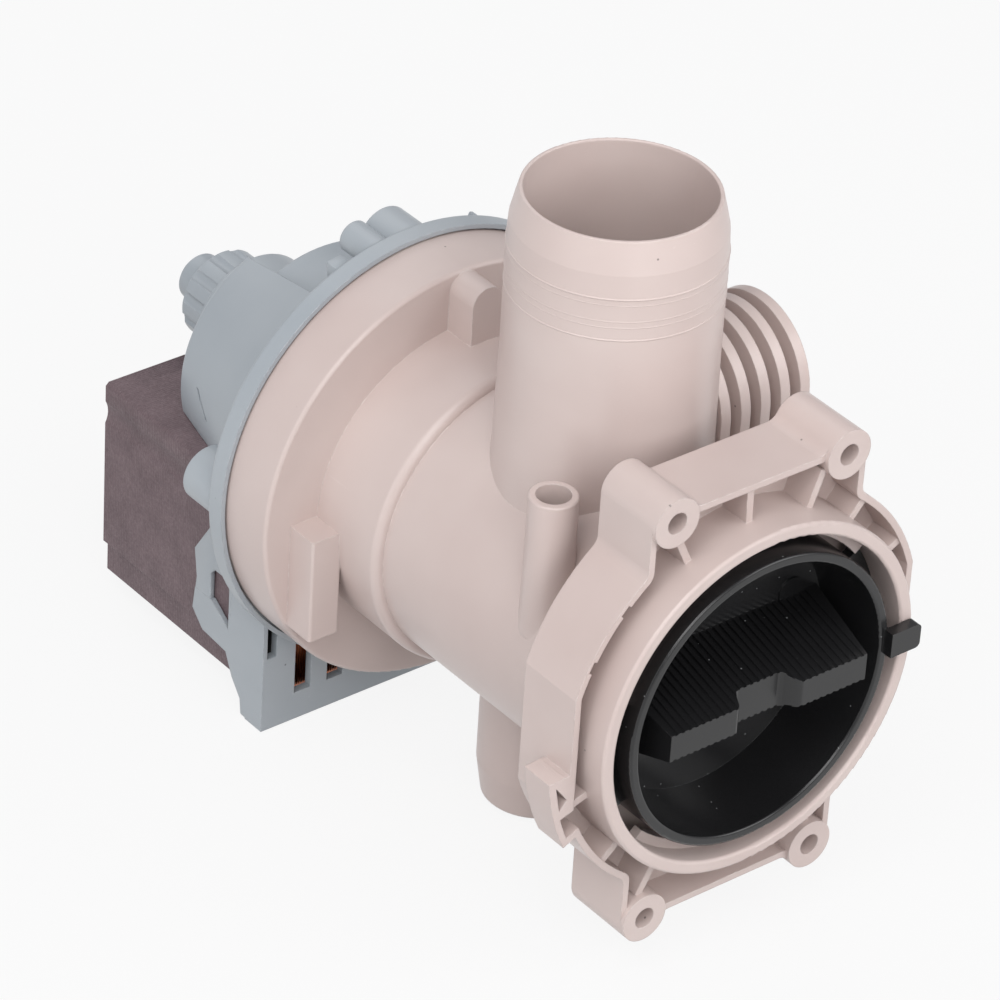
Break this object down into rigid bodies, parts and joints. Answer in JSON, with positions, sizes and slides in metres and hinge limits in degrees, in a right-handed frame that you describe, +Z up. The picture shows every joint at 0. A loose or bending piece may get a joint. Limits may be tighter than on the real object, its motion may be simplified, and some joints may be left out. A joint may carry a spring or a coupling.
{
  "type": "washer drain pump",
  "caption": "Drain pump for a washing machine: filter chamber with screw flange and twist-out filter, inlet tube, volute, and a magnet motor with laminated core behind.",
  "frame": {"origin": "centre of the four flange screws, in the plane of their boss faces, on the axis of the filter, impeller and rotor", "axes": "+Y from the filter towards the motor along that axis, +Z up along the inlet tube, +X to the right seen from the filter side"},
  "size_m": [0.1145, 0.1989, 0.1567],
  "materials": {
    "pink_housing": "satin moulded, light pink-beige",
    "black_plastic": "satin moulded, black",
    "black_rubber": "matt",
    "white_plastic": "satin moulded, white",
    "grey_plastic": "satin moulded, light blue-grey",
    "bobbin_plastic": "matt, glass-filled",
    "shaft_steel": "ground",
    "zinc_steel": "zinc plated",
    "bush_bronze": "sintered, oil-filled",
    "tinned_brass": "tinned",
    "ferrite": "ground ferrite, dark grey",
    "lacquered_core": "brown-violet core lacquer",
    "enamelled_copper": "enamelled copper"
  },
  "bodies": {
    "pump": {"pump_housing": "pink_housing", "front_bush": "bush_bronze", "front_bush_seat": "black_rubber", "rear_bush": "bush_bronze", "rear_bush_seat": "black_rubber", "shaft_seal": "black_rubber", "bearing_plate": "grey_plastic", "rotor_can": "grey_plastic", "motor_oring": "black_rubber", "motor_housing": "grey_plastic", "motor_screws": "zinc_steel", "stator_core": "lacquered_core", "stator_yoke": "lacquered_core", "pole_shoes": "lacquered_core", "core_rivets": "zinc_steel", "coil_bobbin": "bobbin_plastic", "coil_winding": "enamelled_copper", "terminal_block": "bobbin_plastic", "spade_terminals": "tinned_brass"},
    "basket": {"filter_basket": "black_plastic"},
    "cap": {"filter_cap": "black_plastic", "filter_seal": "black_rubber"},
    "rotor": {"rotor_shaft": "shaft_steel", "rotor_magnet": "ferrite", "magnet_cap_front": "white_plastic", "magnet_cap_rear": "white_plastic", "thrust_washers": "shaft_steel", "impeller_driver": "white_plastic"},
    "impeller": {"impeller": "white_plastic"}
  },
  "joints": [
    {"name": "filter_pull", "type": "slide", "parent": "pump", "child": "basket", "axis": [0, -1, 0], "range_m": [0, 0.085]},
    {"name": "filter_turn", "type": "hinge", "parent": "basket", "child": "cap", "pos_m": [0, 0, 0], "axis": [0, -1, 0], "range_deg": [-75, 0]},
    {"name": "rotor_spin", "type": "hinge", "parent": "pump", "child": "rotor", "pos_m": [0, 0.135, 0], "axis": [0, 1, 0], "continuous": true},
    {"name": "impeller_play", "type": "hinge", "parent": "rotor", "child": "impeller", "pos_m": [0, 0.107, 0], "axis": [0, 1, 0], "range_deg": [-147, 147]}
  ]
}
